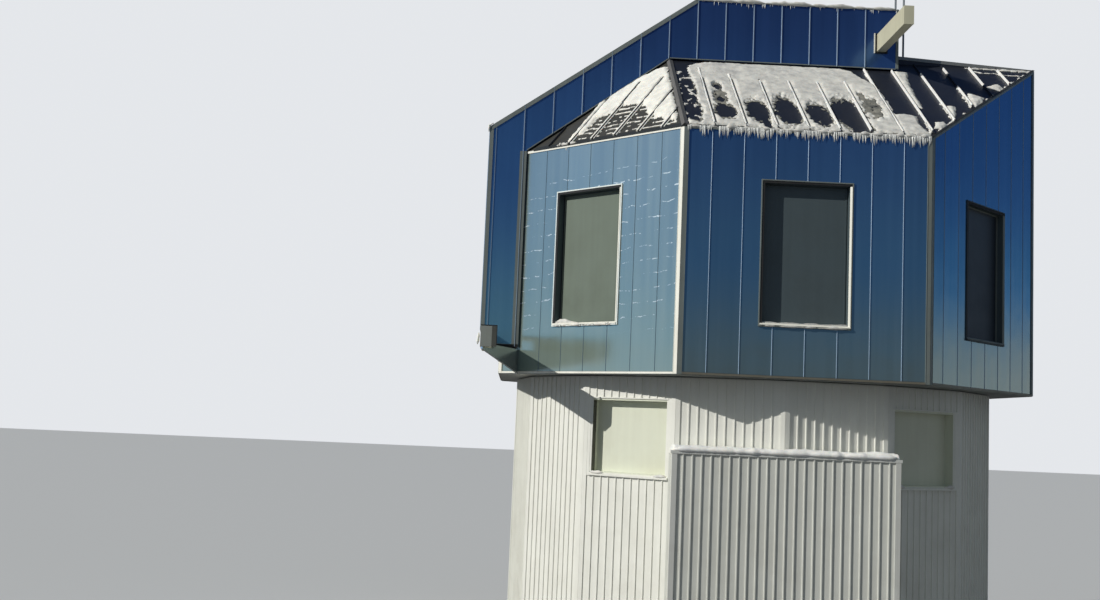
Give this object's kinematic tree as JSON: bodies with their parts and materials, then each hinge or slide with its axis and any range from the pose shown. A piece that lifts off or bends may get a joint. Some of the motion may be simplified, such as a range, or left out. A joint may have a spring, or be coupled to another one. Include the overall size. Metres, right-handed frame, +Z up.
{
  "type": "observatory dome",
  "caption": "Metal-clad octagonal observatory dome that rotates on a fixed faceted drum, with a slit under shutters that slide apart sideways on beams.",
  "frame": {"origin": "on the dome's turning axis at ground level, on the underside of the floor slab", "axes": "+Z up along the turning axis, -X out through the slit when the dome is at rest, -Y towards the side with the straight bay"},
  "size_m": [11.7884, 11.3768, 15],
  "materials": {
    "facade_panel": "bare coated sheet metal with flat pans and narrow standing ribs, reflecting the sky",
    "roof_metal": "dark standing-seam roof sheet",
    "vent_door": "satin olive-grey paint",
    "drum_cladding": "white ribbed sheet",
    "drum_window_panel": "cream satin paint",
    "beam_paint": "beige satin paint",
    "structural_steel": "dull galvanised steel",
    "concrete": null
  },
  "bodies": {
    "drum": {"ground_slab": "concrete", "observing_floor": "concrete", "track_ring": "structural_steel", "bay_wall": "drum_cladding", "bay_ledge": "drum_cladding", "drum_wall_1": "drum_cladding", "drum_wall_2": "drum_cladding", "drum_wall_3": "drum_cladding", "drum_wall_4": "drum_cladding", "drum_wall_5": "drum_cladding", "drum_wall_6": "drum_cladding", "drum_wall_7": "drum_cladding", "drum_wall_8": "drum_cladding", "drum_window_1": "drum_window_panel", "drum_window_2": "drum_window_panel", "drum_window_3": "drum_window_panel", "drum_window_4": "drum_window_panel"},
    "dome": {"dome_ring": "structural_steel", "wall_front": "facade_panel", "wall_front_left": "facade_panel", "wall_left": "facade_panel", "wall_rear_left": "facade_panel", "wall_rear": "facade_panel", "wall_rear_right": "facade_panel", "wall_right": "facade_panel", "wall_front_right": "facade_panel", "vent_front_left": "vent_door", "vent_left": "vent_door", "vent_rear_left": "vent_door", "vent_rear": "vent_door", "vent_rear_right": "vent_door", "vent_right": "vent_door", "vent_front_right": "vent_door", "roof_left": "roof_metal", "roof_right": "roof_metal", "hip_roof_left": "roof_metal", "hip_roof_right": "roof_metal", "slit_girder_left": "roof_metal", "slit_girder_right": "roof_metal", "rear_deck": "roof_metal", "front_beam": "beam_paint", "rear_beam": "beam_paint", "beam_seat_left": "structural_steel", "beam_seat_right": "structural_steel", "beam_bracket": "structural_steel", "mast_1": "structural_steel", "mast_2": "structural_steel"},
    "left_shutter": {"left_shutter_side": "facade_panel", "left_shutter_front": "facade_panel", "left_shutter_top": "facade_panel", "left_shutter_rear": "facade_panel"},
    "right_shutter": {"right_shutter_side": "facade_panel", "right_shutter_front": "facade_panel", "right_shutter_top": "facade_panel", "right_shutter_rear": "facade_panel"}
  },
  "joints": [
    {"name": "dome_rotation", "type": "hinge", "parent": "drum", "child": "dome", "pos_m": [0, 0, 6], "axis": [0, 0, 1], "continuous": true},
    {"name": "left_shutter_slide", "type": "slide", "parent": "dome", "child": "left_shutter", "axis": [0, -1, 0], "range_m": [0, 1.85]},
    {"name": "right_shutter_slide", "type": "slide", "parent": "dome", "child": "right_shutter", "axis": [0, 1, 0], "range_m": [0, 1.85]}
  ]
}
